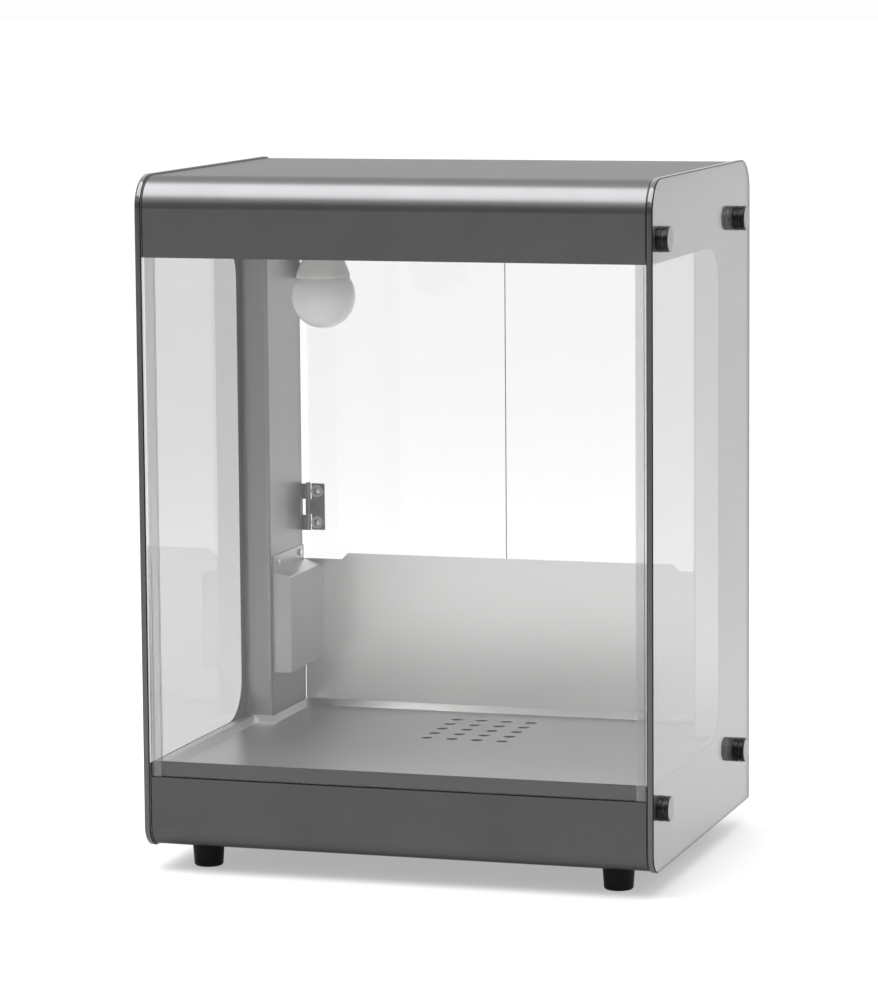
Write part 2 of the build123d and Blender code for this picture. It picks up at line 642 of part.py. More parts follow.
def lamp_lead():
    """The two-core lead from the terminal block up the left post and over to the lamp holder."""
    radius, high = 2.5, 624.0
    x, y = LEAD_RISE
    points = [(-176.0, y, LEAD_LOW), (x, y, LEAD_LOW), (x, y, high), (*LAMP, high), (*LAMP, 606.0)]
    path = FilletPolyline(*points, radius=[14, 14, 8])
    section = Plane(origin=points[0], z_dir=(-1, 0, 0)) * Circle(radius)
    return sweep(section, path=path)


def terminal_block():
    part = block((-176.0, -150.0), (298.0, 322.0), (PAN_FLOOR, 54.0))
    for y in (304.0, 316.0):
        for x in (-170.0, -163.0, -156.0):
            part -= rod("z", 1.8, (50.0, 60.0), (x, y))
    return part


# ------------------------------------------------------------------ drawer, switch, inlet
def crumb_drawer():
    """An open box of thin sheet."""
    part = block((-DRAWER_HALF, DRAWER_HALF), (DRAWER_FRONT_EDGE, DRAWER_FACE), DRAWER_SPAN)
    inside = (-DRAWER_HALF + THIN, DRAWER_HALF - THIN)
    depth = (DRAWER_FRONT_EDGE + THIN, DRAWER_FACE - THIN)
    return part - block(inside, depth, (DRAWER_SPAN[0] + THIN, DRAWER_SPAN[1] + 1))


def drawer_front():
    """The plate on the drawer's rear end, larger than the cut-out it closes."""
    half = DRAWER_HALF + 8
    return block((-half, half), (DRAWER_FACE, DRAWER_FACE + SHEET), (DRAWER_SPAN[0] - 5, DRAWER_SPAN[1] + 6))


def drawer_pull():
    """A folded strip below the upper edge of the drawer's front."""
    face = DRAWER_FACE + SHEET
    x = (-28.0, 28.0)
    z = 68.0
    reach = 9.0
    part = block(x, (face, face + SHEET), (z - 8, z)) + block(x, (face, face + reach), (z - SHEET, z))
    return part + block(x, (face + reach - SHEET, face + reach), (z - 5, z))


def drawer_runners():
    y = (DRAWER_FRONT_EDGE, SILL - 0.2)
    wall = DRAWER_HALF + 2.8
    shelf = DRAWER_SPAN[0] - 0.4
    left = block((-wall - SHEET, -wall), y, (PAN_FLOOR, 62.0))
    left += block((-wall, -wall + 15), y, (shelf - SHEET, shelf))
    return group([left, mirrored(left)])


def switch_housing():
    x, z = SWITCH
    rear = SILL + THIN
    part = block((x - 7, x + 7), (rear - 18.0, rear), (z - 10.2, z + 10.2))
    part += block((x - 9, x + 9), (rear, rear + 2.0), (z - 12.5, z + 12.5))
    part -= block((x - 5.9, x + 5.9), (rear - 12.0, DEPTH), (z - 9.4, z + 9.4))
    return part - rod("x", 1.06, (x - 6.7, x + 6.7), (SWITCH_PIVOT, z))


def rocker_switch():
    """The rocker, at rest with its upper end pressed in, on two stub axles."""
    x, z = SWITCH
    deep, low, high, waist = 8.4, 7.2, 8.2, 6.6
    shape = [(-2.2, -6.0), (0, -high), (waist, -low), (deep - 2.2, 0), (waist, low), (0, high), (-2.2, 6.0)]
    face = make_face(Polyline(*[(0, y, z_point) for y, z_point in shape], close=True))
    part = Pos(-5.5, 0, 0) * extrude(face, amount=11.0, dir=(1, 0, 0))
    part += rod("x", 1.0, (-6.5, 6.5), (0, 0))
    return Pos(x, SWITCH_PIVOT, z) * Rot(SWITCH_TILT, 0, 0) * part


def inlet_blades():
    x, z = INLET
    spots = [(x - 7, z - 2), (x + 7, z - 2), (x, z + 2)]
    y = (SILL - 18.0, SILL + 1.0)
    return [block((px - 1, px + 1), y, (pz - 2, pz + 2)) for px, pz in spots]


def power_inlet():
    """An appliance inlet: flange, body and a six-sided well with three blades in it."""
    x, z = INLET
    rear = SILL + THIN
    part = block((x - 13.5, x + 13.5), (rear - 16.0, rear), (z - 9.9, z + 9.9))
    part += block((x - 15.5, x + 15.5), (rear, rear + 2.5), (z - 12, z + 12))
    well = [(-12.2, -8.2), (12.2, -8.2), (12.2, 4.0), (8.0, 8.2), (-8.0, 8.2), (-12.2, 4.0)]
    part -= profile_along_y([(x + px, z + pz) for px, pz in well], (rear - 13.0, DEPTH))
    for blade in inlet_blades():
        part -= blade
    return part


# ------------------------------------------------------------------ feet
def feet():
    part = []
    for spot in FOOT_SPOTS:
        foot = Pos(*spot, PAN_BOTTOM / 2) * Cone(FOOT_BOTTOM_RADIUS, FOOT_TOP_RADIUS, PAN_BOTTOM)
        foot = fillet(foot.edges().filter_by(GeomType.CIRCLE).sort_by(Axis.Z)[0], 1.2)
        foot -= rod("z", 2.6, (-5, 60), spot)
        part.append(foot - rod("z", 5.5, (-5, 8.0), spot))
    return group(part)


def foot_screws():
    return group(
        rod("z", 2.5, (8.0, PAN_FLOOR + 8), spot) + rod("z", 4.6, (4.8, 8.0), spot) for spot in FOOT_SPOTS
    )


# ------------------------------------------------------------------ write every piece
SIDED = {
    "side_glass": side_glass,
    "side_print": side_print,
    "glass_channel": glass_channel,
    "door_panel": door_panel,
    "door_leaves": lambda: group(door_leaf(z) for z in HINGE_MIDDLES),
    "frame_leaves": lambda: group(frame_leaf(z) for z in HINGE_MIDDLES),
    "hinge_pins": hinge_pins,
    "door_screws": door_screws,
    "door_nuts": door_nuts,
    "door_knob": door_knob,
    "door_strike": door_strike,
}

SINGLE = {
    "front_glass": front_glass,
    "top_cover": top_cover,
    "cover_screws": cover_screws,
    "ceiling_panel": ceiling_panel,
    "base_shell": base_shell,
    "base_frame": base_frame,
    "left_rear_post": left_rear_post,
    "right_rear_post": lambda: mirrored(rear_post()),
    "wiring_cover": wiring_cover,
    "wiring_cover_screws": wiring_cover_screws,
    "rear_panel": rear_panel,
    "door_stop": door_stop,
    "floor_tray": floor_tray,
    "hinge_frame_screws": hinge_frame_screws,
    "door_magnets": door_magnets,
    "knob_caps": knob_caps,
    "knob_collars": knob_collars,
    "knob_studs": knob_studs,
    "glass_screws": glass_screws,
    "side_nuts": side_nuts,
    "bulb_diffuser": bulb_diffuser,
    "bulb_body": bulb_body,
    "bulb_cap": bulb_cap,
    "lamp_holder": lamp_holder,
    "lamp_holder_ring": lamp_holder_ring,
    "lamp_lead": lamp_lead,
    "terminal_block": terminal_block,
    "crumb_drawer": crumb_drawer,
    "drawer_front": drawer_front,
    "drawer_pull": drawer_pull,
    "drawer_runners": drawer_runners,
    "switch_housing": switch_housing,
    "rocker_switch": rocker_switch,
    "power_inlet": power_inlet,
    "inlet_blades": lambda: group(inlet_blades()),
    "feet": feet,
    "foot_screws": foot_screws,
}

os.makedirs("parts", exist_ok=True)
for name, build in SIDED.items():
    left = build()
    save(f"left_{name}", left)
    save(f"right_{name}", mirrored(left))
for name, build in SINGLE.items():
    save(name, build())
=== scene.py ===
# %% [markdown]
# # A bakery display case for the counter
# The real object is a small show case: two big side glasses clamp a painted base and a painted top
# between them, with black knobs on the right and flat screw heads on the left. A front glass, a steel
# floor with holes, two steel posts, two clear rear doors and a lamp complete it. The CAD model gives
# every piece its place and its size, so this lesson is about looks: camera, light, finishes, and the
# pieces worth building again as meshes.

# %% Load the CAD frame
import json
from math import asin, cos, pi, radians, sin

import bmesh
import bpy
from mathutils import Matrix, Vector


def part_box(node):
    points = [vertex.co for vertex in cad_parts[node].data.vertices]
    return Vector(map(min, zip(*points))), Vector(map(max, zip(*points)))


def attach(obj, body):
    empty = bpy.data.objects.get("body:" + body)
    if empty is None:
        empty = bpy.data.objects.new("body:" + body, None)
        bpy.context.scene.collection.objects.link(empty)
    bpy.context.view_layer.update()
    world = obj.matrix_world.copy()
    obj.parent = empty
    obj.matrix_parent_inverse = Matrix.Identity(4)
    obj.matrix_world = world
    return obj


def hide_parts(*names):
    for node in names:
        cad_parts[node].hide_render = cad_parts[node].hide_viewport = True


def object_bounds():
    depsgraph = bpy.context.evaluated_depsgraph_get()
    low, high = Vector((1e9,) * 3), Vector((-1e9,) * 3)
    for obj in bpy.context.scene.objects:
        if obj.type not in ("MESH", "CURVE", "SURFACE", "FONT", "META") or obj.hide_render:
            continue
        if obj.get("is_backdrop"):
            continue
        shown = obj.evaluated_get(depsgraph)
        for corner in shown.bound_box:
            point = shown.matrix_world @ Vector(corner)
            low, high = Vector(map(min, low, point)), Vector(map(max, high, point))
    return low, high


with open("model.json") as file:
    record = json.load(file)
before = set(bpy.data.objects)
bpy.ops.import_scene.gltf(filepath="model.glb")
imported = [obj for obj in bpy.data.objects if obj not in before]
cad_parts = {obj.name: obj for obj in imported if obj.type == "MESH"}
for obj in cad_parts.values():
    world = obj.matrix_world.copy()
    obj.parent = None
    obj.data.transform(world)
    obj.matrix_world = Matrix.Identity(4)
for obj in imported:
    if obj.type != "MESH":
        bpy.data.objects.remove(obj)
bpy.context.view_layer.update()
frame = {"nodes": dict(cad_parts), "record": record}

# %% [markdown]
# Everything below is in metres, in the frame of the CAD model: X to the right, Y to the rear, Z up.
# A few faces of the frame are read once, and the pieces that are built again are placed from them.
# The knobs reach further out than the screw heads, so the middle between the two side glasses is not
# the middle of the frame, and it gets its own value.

MM = 0.001
glass_low, glass_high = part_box("left_side_glass")
right_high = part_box("right_side_glass")[1]
front_edge = glass_low.y
middle = (glass_low.x + right_high.x) / 2
print("side glasses reach from y =", round(glass_low.y, 4), "to", round(glass_high.y, 4))
print("their middle is at x =", round(middle, 5))

# %% [markdown]
# ## Camera
# Goods like this are best seen from a few metres away through a long lens, which keeps upright edges
# nearly parallel. The camera stands to the right of the case and a little above its top, and is turned
# left and tipped down. A matrix of its three axes says this more directly than Euler angles.

# %% Camera
camera_data = bpy.data.cameras.new("camera")
camera_data.lens = 155.44
camera_data.sensor_width = 36.0
camera = bpy.data.objects.new("camera", camera_data)
bpy.context.scene.collection.objects.link(camera)
bpy.context.scene.camera = camera

turned_left = radians(17.2713)
tipped_down = radians(7.3886)
rolled = radians(-0.4645)
forward = Vector((-sin(turned_left) * cos(tipped_down),
                  cos(turned_left) * cos(tipped_down),
                  -sin(tipped_down)))
level_right = Vector((cos(turned_left), sin(turned_left), 0))
level_up = level_right.cross(forward)
right = cos(rolled) * level_right + sin(rolled) * level_up
up = cos(rolled) * level_up - sin(rolled) * level_right
standpoint = Vector((middle + 1.1708, front_edge - 3.6224, 0.8445))
axes = Matrix((right, up, -forward)).transposed().to_4x4()
camera.matrix_world = Matrix.Translation(standpoint) @ axes

# %% [markdown]
# ## Studio
# The case stands on a pale table top that runs out of sight, in soft light. Glossy paint, glass and
# steel show the room more than they show themselves, so the room is shaped first: bright behind and
# above, darker behind the camera. One wide lamp overhead draws the highlight along the front bend.

# %% Colour and node helpers
def linear(hex_code):
    """An sRGB colour such as "#8A8C8E", as the linear RGBA that Blender's shaders take."""
    values = [int(hex_code[i:i + 2], 16) / 255 for i in (1, 3, 5)]
    return [v / 12.92 if v <= 0.04045 else ((v + 0.055) / 1.055) ** 2.4 for v in values] + [1.0]


def node(tree, kind, inputs=None, **settings):
    """Add a node, set its properties, and fill or link its inputs by name or number."""
    made = tree.nodes.new(kind)
    for name, value in settings.items():
        setattr(made, name, value)
    for name, value in (inputs or {}).items():
        if isinstance(value, bpy.types.NodeSocket):
            tree.links.new(value, made.inputs[name])
        else:
            made.inputs[name].default_value = value
    return made


# %% World: bright behind, darker behind the camera
world = bpy.data.worlds.new("studio")
world.use_nodes = True
bpy.context.scene.world = world
room = world.node_tree
room.nodes.clear()
direction = node(room, "ShaderNodeTexCoord").outputs["Generated"]
towards = node(room, "ShaderNodeSeparateXYZ", {"Vector": direction})
depth = node(room, "ShaderNodeMapRange", {
    "Value": towards.outputs["Y"], "From Min": -0.8, "From Max": 0.3, "To Min": 0.28, "To Max": 1.0,
}, interpolation_type="SMOOTHSTEP")
background = node(room, "ShaderNodeBackground", {"Color": linear("#FDFDFE"), "Strength": depth.outputs[0]})
node(room, "ShaderNodeOutputWorld", {"Surface": background.outputs[0]})
print("room of", len(room.nodes), "nodes")


# %% Soft lamps
def softbox(name, size, at, target, watts):
    """A rectangular area lamp at one point, facing another."""
    data = bpy.data.lights.new(name, "AREA")
    data.shape = "RECTANGLE"
    data.size, data.size_y = size
    data.energy = watts
    lamp = bpy.data.objects.new(name, data)
    lamp.location = at
    lamp.rotation_euler = (Vector(target) - Vector(at)).to_track_quat("-Z", "Y").to_euler()
    bpy.context.scene.collection.objects.link(lamp)
    return lamp


upper = softbox("upper_front_softbox", (3.2, 2.0), (-0.3, -0.9, 2.4), (0.0, 0.1, 0.5), 112)
print(upper.name, "gives", upper.data.energy, "W")

# %% Even light from the ceiling
ceiling_light = bpy.data.lights.new("ceiling_light", "SUN")
ceiling_light.energy = 2.4
ceiling_light.angle = radians(140)
ceiling = bpy.data.objects.new("ceiling_light", ceiling_light)
bpy.context.scene.collection.objects.link(ceiling)
print("ceiling light is", round(ceiling_light.angle, 2), "rad wide, so its shadows have no edge")

# %% Table top
REACH = 40.0
table_corners = [(-REACH, -REACH, 0), (REACH, -REACH, 0), (REACH, REACH, 0), (-REACH, REACH, 0)]
table_top = bpy.data.meshes.new("table_top")
table_top.from_pydata(table_corners, [], [(0, 1, 2, 3)])
floor = bpy.data.objects.new("table_top", table_top)
bpy.context.scene.collection.objects.link(floor)
floor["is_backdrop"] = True
print("table top", 2 * REACH, "m wide")

# %% [markdown]
# The Standard view shows a colour as it is mixed. The filmic ones would grey the pale ground and
# soften the contrast between paint and glass.

# %% Show colours as they are mixed
bpy.context.scene.view_settings.view_transform = "Standard"
print("view transform:", bpy.context.scene.view_settings.view_transform)

# %% [markdown]
# ## Finishes
# Each finish is one material on the Principled shader, named for the real material and the way its
# surface was made. Patterns use object coordinates, which are metres in the frame, so a pattern's
# scale comes straight from a real size: a grain of 0.8 mm repeats 1000 / 0.8 times in a metre.

# %% Start a finish
made_finishes = {}


def start(name, colour, roughness, metallic=0.0, **sockets):
    """A new material with one Principled shader; sockets are further inputs, with _ for a space."""
    material = bpy.data.materials.new(name)
    material.use_nodes = True
    tree = material.node_tree
    shader = tree.nodes["Principled BSDF"]
    shader.inputs["Base Color"].default_value = linear(colour)
    shader.inputs["Roughness"].default_value = roughness
    shader.inputs["Metallic"].default_value = metallic
    for socket, value in sockets.items():
        shader.inputs[socket.replace("_", " ")].default_value = value
    return material, tree, shader


def per_metre(size_mm):
    """How many times a pattern of that real size repeats in a metre."""
    return 1000.0 / size_mm


def grain(tree, size_mm, stretch=(1, 1, 1), detail=2.0):
    """Noise of one grain size in object space; stretch below 1 makes it long in that direction."""
    place = node(tree, "ShaderNodeTexCoord").outputs["Object"]
    scale = [per_metre(size_mm) * s for s in stretch]
    scaled = node(tree, "ShaderNodeMapping", {"Vector": place, "Scale": scale}).outputs[0]
    return node(tree, "ShaderNodeTexNoise", {"Vector": scaled, "Scale": 1.0, "Detail": detail}).outputs[0]


def vary(tree, pattern, low, high):
    """Map a 0 to 1 pattern, whose middle part is the common one, to a range."""
    return node(tree, "ShaderNodeMapRange", {
        "Value": pattern, "From Min": 0.3, "From Max": 0.7, "To Min": low, "To Max": high}).outputs[0]


def relief(tree, shader, pattern, height_mm, strength=1.0):
    """Turn a pattern into small bumps of a real height."""
    bump = node(tree, "ShaderNodeBump", {
        "Height": pattern, "Distance": height_mm * MM, "Strength": strength})
    tree.links.new(bump.outputs[0], shader.inputs["Normal"])


def mixed(tree, share, one, other):
    """A mix of two colours; each is a value or an output."""
    return node(tree, "ShaderNodeMix", {0: share, 6: one, 7: other}, data_type="RGBA").outputs[2]


def tint(tree, shader, pattern, low, high):
    """Let the base colour drift between two close colours."""
    tree.links.new(mixed(tree, vary(tree, pattern, 0.0, 1.0), linear(low), linear(high)),
                   shader.inputs["Base Color"])


def dull(tree, shader, pattern, roughness, change):
    """Let the roughness drift a little to both sides of its value."""
    tree.links.new(vary(tree, pattern, roughness - change, roughness + change), shader.inputs["Roughness"])


# %% [markdown]
# ** Powder-coated sheet steel** covers the top and the base. The powder carries fine aluminium flakes,
# so the film shines like dark metal: a bright, soft highlight on the round edge and a grey that
# follows the room elsewhere. The flakes lie under clear resin, which keeps grazing views from turning
# into a mirror; a grey edge tint does that. A faint orange peel of 1.5 mm breaks reflections up. The
# base has a darker copy of the same paint, painted shade that offsets the bright table in its
# reflection, and the frames inside are matt black without flakes.

# %% Painted sheet
def powder_coat(name, low, high, roughness, metallic=1.0, edge="#FFFFFF", specular=0.5):
    material, tree, shader = start(name, low, roughness, metallic=metallic, Specular_IOR_Level=specular)
    shader.inputs["Specular Tint"].default_value = linear(edge)
    tint(tree, shader, grain(tree, 60.0), low, high)
    relief(tree, shader, grain(tree, 1.5, detail=1.0), 0.002, 0.1)
    dull(tree, shader, grain(tree, 25.0), roughness, 0.01)
    return material


made_finishes["anthracite_paint"] = powder_coat(
    "metallic_powder_coat_anthracite", "#5E5E5F", "#616162", 0.3, edge="#CCCCCC")
# Same paint as the top, a shade darker: painted shade that offsets the bright table it reflects.
base_paint_shaded = powder_coat("metallic_powder_coat_anthracite_shaded", "#4F4F50", "#525253", 0.3, edge="#CCCCCC")
made_finishes["frame_paint"] = powder_coat(
    "matt_black_powder_coat", "#050505", "#070707", 0.5, metallic=0.0, specular=0.15)
print("powder coats:", [material.name for material in bpy.data.materials if "powder" in material.name])

# %% [markdown]
# **Brushed stainless steel** lines the case: floor, posts, low rear wall, ceiling and drawer. An
# abrasive belt leaves fine parallel scratches, so reflections smear across them. Real scratches are
# about 0.1 mm wide, too fine to show here, so they are drawn 1.2 mm wide and a hundred times as long.
# The real sheets are likely one steel. The studio here is simpler than a real room, so each place in
# the case has its own pair of greys, matched to how bright that sheet should look.

# %% Brushed steel
def brushed_steel(name, along, low="#A8A8A7", high="#A9A9A8", roughness=0.3):
    """Stainless steel, brushed along x, y or z."""
    material, tree, shader = start(name, low, roughness, metallic=1.0)
    scratches = grain(tree, 1.2, [0.01 if axis == along else 1.0 for axis in "xyz"])
    tint(tree, shader, scratches, low, high)
    dull(tree, shader, scratches, roughness, 0.004)
    return material


made_finishes["stainless"] = brushed_steel("brushed_stainless_steel", "z")
# Lighter and darker copies of one steel follow, painted light and shade. The left post's copy is darker:
# painted shade.
post_steel_shaded = brushed_steel("brushed_stainless_steel_post_shaded", "z", "#8D8D8D", "#8F8F8F", 0.33)
# The crumb drawer's copy is darker and duller: painted shade for the dark space under the tray.
drawer_steel_shaded = brushed_steel("dull_stainless_steel_shaded", "y", "#5A5A5A", "#5E5E5E", 0.5)
# Lighter copy for the low rear wall, the right post and the drawer front: painted light.
across_steel_lit = brushed_steel("brushed_stainless_steel_across_lit", "x", "#DADAD9", "#DCDCDB", 0.3)
# Lighter copy for the ceiling and the floor tray: painted light.
deep_steel_lit = brushed_steel("brushed_stainless_steel_deep_lit", "y", "#BCBCBB", "#BDBDBC", 0.3)
print("brushed:", [material.name for material in bpy.data.materials if "stainless" in material.name])

# %% [markdown]
# **Small metal parts**: the hinges are stamped steel with a satin surface, screws and washers are
# zinc-plated and brighter, and the discs and washers in the black knobs are turned steel, a little
# dull. The drawer runners are galvanised with large zinc crystals, and the lamp's cap and the inlet's
# blades are nickel-plated brass with a slight warm tone.

# %% Small metals
def plated(name, low, high, roughness, patch_mm):
    material, tree, shader = start(name, low, roughness, metallic=1.0)
    tint(tree, shader, grain(tree, patch_mm), low, high)
    dull(tree, shader, grain(tree, patch_mm / 3), roughness, 0.05)
    return material


made_finishes["hinge_steel"] = plated("stamped_steel_satin", "#76777A", "#808184", 0.36, 6.0)
made_finishes["zinc_screws"] = plated("zinc_plated_steel", "#C6C8CA", "#D6D7D8", 0.2, 3.0)
made_finishes["door_pulls"] = plated("turned_steel_satin", "#B4B5B6", "#C2C2C2", 0.25, 4.0)
knob_disc = plated("turned_steel_dull", "#85878A", "#8D8F91", 0.3, 4.0)
made_finishes["nickel_cap"] = plated("nickel_plated_brass", "#C7C2B6", "#D2CDC2", 0.18, 5.0)


def galvanised():
    """Hot-dip zinc: angular crystals, each with its own brightness."""
    material, tree, shader = start("galvanised_steel", "#9AA0A3", 0.4, metallic=1.0)
    place = node(tree, "ShaderNodeTexCoord").outputs["Object"]
    crystals = node(tree, "ShaderNodeTexVoronoi", {"Vector": place, "Scale": per_metre(8.0)})
    tint(tree, shader, crystals.outputs["Color"], "#8E9497", "#A9AEB0")
    return material


made_finishes["galvanised_steel"] = galvanised()
print("small metals:", len(made_finishes), "finishes so far")

# %% [markdown]
# **Glass and clear plastic**. Clear pieces are solid, so light bends in them as in the real thing,
# and what stands behind a side glass looks shifted. A solid that bends light also blocks lamps, which
# would leave the inside of the case dark, so a shadow ray passes through unbent.

# %% Clear materials
def clear(name, colour, ior, roughness=0.0, specular=0.5):
    """A refracting material that lets lamps shine through."""
    material, tree, shader = start(name, colour, roughness, Transmission_Weight=1.0, IOR=ior,
                                   Specular_IOR_Level=specular)
    output = tree.nodes["Material Output"]
    straight = node(tree, "ShaderNodeBsdfTransparent", {"Color": linear(colour)})
    shadow = node(tree, "ShaderNodeLightPath").outputs["Is Shadow Ray"]
    both = node(tree, "ShaderNodeMixShader", {0: shadow, 1: shader.outputs[0], 2: straight.outputs[0]})
    tree.links.new(both.outputs[0], output.inputs["Surface"])
    return material


made_finishes["tempered_glass"] = clear("tempered_float_glass", "#F7F7F7", 1.52, specular=0.18)
# The side glasses get a grey tint darker than real glass: painted shade that dims all seen through them.
side_glass_shaded = clear("tempered_float_glass_shaded", "#D0D0CF", 1.52, specular=0.1)
made_finishes["clear_profile"] = clear("extruded_clear_plastic", "#E9E9E9", 1.49, 0.05)
made_finishes["clear_acrylic"] = clear("cast_acrylic", "#F8F8F8", 1.49, specular=0.3)
print("clear:", [made_finishes[slot].name for slot in ("tempered_glass", "clear_profile", "clear_acrylic")])

# %% [markdown]
# ** Ground glass edge and enamel border**. The narrow edge of a side glass shows the depth of the
# pane: light that enters it ends on the printed border, so it looks dark grey between two thin black
# arrises. The border is screen-printed enamel, fired onto the inner face: anthracite towards the case,
# and silver grey on the side seen through the glass. That silver is partly the print's own colour and
# partly a painted reflection of the bright room, which the weakly reflecting side glass does not give.

# %% Edge and enamel
def ground_edge(name, low, high, roughness, specular):
    material, tree, shader = start(name, low, roughness, IOR=1.52, Specular_IOR_Level=specular)
    tint(tree, shader, grain(tree, 3.0, (1, 0.2, 0.2)), low, high)
    relief(tree, shader, grain(tree, 0.4), 0.004, 0.3)
    return material


edge_finish = ground_edge("ground_glass_edge", "#1E1E1E", "#262626", 0.12, 1.0)
arris_finish = ground_edge("ground_glass_arris", "#020202", "#040404", 0.3, 0.1)
print("glass edges:", edge_finish.name, "and", arris_finish.name)


def enamel():
    """Anthracite towards the case; silver grey towards the glass, partly a painted reflection of the room.

    A face looks outwards where its place and its normal point to the same side along x."""
    material, tree, shader = start("fired_enamel_print", "#2C2D2F", 0.36, IOR=1.5)
    coordinates = node(tree, "ShaderNodeTexCoord")
    place = node(tree, "ShaderNodeSeparateXYZ", {"Vector": coordinates.outputs["Object"]}).outputs[0]
    facing = node(tree, "ShaderNodeSeparateXYZ", {"Vector": coordinates.outputs["Normal"]}).outputs[0]
    outwards = node(tree, "ShaderNodeMath", {0: place, 1: facing}, operation="MULTIPLY").outputs[0]
    outside = node(tree, "ShaderNodeMath", {0: outwards, 1: 0.01}, operation="GREATER_THAN").outputs[0]
    clouds = vary(tree, grain(tree, 40.0), 0.0, 1.0)
    dark = mixed(tree, clouds, linear("#2A2B2C"), linear("#2F3031"))
    # The silver is partly the print's colour and partly painted reflection of the bright room.
    silver_and_reflection = mixed(tree, clouds, linear("#AFB0B0"), linear("#B2B3B3"))
    tree.links.new(mixed(tree, outside, dark, silver_and_reflection), shader.inputs["Base Color"])
    relief(tree, shader, grain(tree, 0.6), 0.002, 0.15)
    return material


made_finishes["glass_print"] = enamel()
print("enamel in two coats:", made_finishes["glass_print"].name)

# %% [markdown]
# **Moulded plastics and rubber**. Knobs, switch and inlet are injection-moulded in black with a fine
# spark-eroded grain. Lamp holder and terminal block are white. The feet are black rubber, duller and
# nearly without gloss, and the lead has a smooth white sheath. The flat screw heads on the left glass
# are black zinc-plated steel, which looks much like them.

# %% Moulded plastics
def moulded(name, low, high, roughness, grain_mm, height_mm, ior=1.47, specular=0.5):
    material, tree, shader = start(name, low, roughness, IOR=ior, Specular_IOR_Level=specular)
    tint(tree, shader, grain(tree, 12.0), low, high)
    relief(tree, shader, grain(tree, grain_mm, detail=3.0), height_mm, 0.6)
    dull(tree, shader, grain(tree, 5.0), roughness, 0.04)
    return material


mouldings = {
    "black_plastic": moulded("moulded_black_polyamide", "#020202", "#040404", 0.28, 0.6, 0.002, 1.45, 0.3),
    "black_steel": moulded("black_zinc_plated_steel", "#131314", "#19191A", 0.35, 0.6, 0.002, 1.5),
    "magnet_housing": moulded("moulded_black_housing", "#141415", "#191919", 0.45, 0.5, 0.01),
    "rocker_plastic": moulded("moulded_glossy_rocker", "#0C0C0D", "#101011", 0.15, 2.0, 0.003, 1.58),
    "white_plastic": moulded("moulded_white_plastic", "#DADAD7", "#E2E2DF", 0.35, 0.8, 0.006, 1.58),
    "lead_sheath": moulded("white_cable_sheath", "#D6D6D2", "#DEDEDA", 0.4, 1.0, 0.008, 1.53),
    "foot_rubber": moulded("moulded_black_rubber", "#030303", "#050505", 0.6, 0.7, 0.02, 1.52, 0.15),
}
made_finishes.update(mouldings)
print("moulded:", ", ".join(mouldings))

# %% [markdown]
# **Opal globe of the lamp**. The globe is white polycarbonate or opal glass: light enters it,
# scatters and comes out nearby, which softens its shading. Subsurface scattering with a few
# millimetres of reach does that.

# %% Opal globe
SCATTER = 6 * MM


def opal():
    material, tree, shader = start("opal_diffuser", "#F8F8F6", 0.22, IOR=1.58)
    shader.inputs["Subsurface Weight"].default_value = 0.6
    shader.inputs["Subsurface Radius"].default_value = (1.0, 1.0, 0.95)
    shader.inputs["Subsurface Scale"].default_value = SCATTER
    tint(tree, shader, grain(tree, 25.0), "#F7F7F5", "#FAFAF8")
    return material


made_finishes["opal_diffuser"] = opal()
print("opal globe scatters light over", round(SCATTER / MM), "mm")

# %% [markdown]
# **Light table**. Goods for a catalogue stand on a sheet of opal acrylic that is lit from below too. It
# keeps the ground white and the shadows pale, so its finish has a diffuse part and its own even glow.

# %% Light table
def table_finish():
    material, tree, shader = start("opal_acrylic_light_table", "#A0A0A0", 0.6, IOR=1.49)
    shader.inputs["Emission Color"].default_value = linear("#FFFFFF")
    shader.inputs["Emission Strength"].default_value = 0.4
    tint(tree, shader, grain(tree, 300.0), "#9F9F9F", "#A1A1A1")
    return material


table_top.materials.append(table_finish())
print("table finish:", table_top.materials[0].name)

# %% [markdown]
# ## Dress the case
# Every CAD node takes the finish of its slot. A few sheets get their own shade instead, which makes
# up for the simple studio light and is not a difference between the real sheets.

# %% Dress every CAD node
# Painted light and shade: lighter and darker copies of the steel and of the base paint.
painted_light_and_shade = {
    "rear_panel": across_steel_lit, "door_stop": across_steel_lit, "right_rear_post": across_steel_lit,
    "drawer_front": across_steel_lit, "drawer_pull": across_steel_lit, "crumb_drawer": drawer_steel_shaded,
    "ceiling_panel": deep_steel_lit, "floor_tray": deep_steel_lit, "left_rear_post": post_steel_shaded,
    "base_shell": base_paint_shaded,
}
for part in frame["record"]["subparts"]:
    mesh = frame["nodes"][part["node"]].data
    mesh.materials.clear()
    mesh.materials.append(painted_light_and_shade.get(part["node"], made_finishes[part["material_slot"]]))
print(len(frame["nodes"]), "nodes dressed in", len(made_finishes), "finishes")


# %% [markdown]
# ## Pieces built again as meshes
# A CAD node whose shape is right stays and only gets its finish. Pieces where a mesh can say more are
# built here: they ride on the same body, stand for the CAD node, and keep its size.

# %% Put a piece in place
def piece(name, mesh, body, slot, *stands_for):
    """Link a mesh as an object that rides on a body and stands for CAD nodes."""
    made = bpy.data.objects.new(name, mesh)
    bpy.context.scene.collection.objects.link(made)
    if not mesh.materials:
        mesh.materials.append(made_finishes[slot])
    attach(made, body)
    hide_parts(*stands_for)
    return made


# %% [markdown]
# ### Side glasses
# A pane is an outline with holes, extruded by its thickness, with a small ground chamfer all round. A
# filled 2D curve does exactly that: its extrude and bevel settings make the chamfer, also around the
# four stud holes. It is then turned upright, and its faces get glass, edge or arris by their normal.

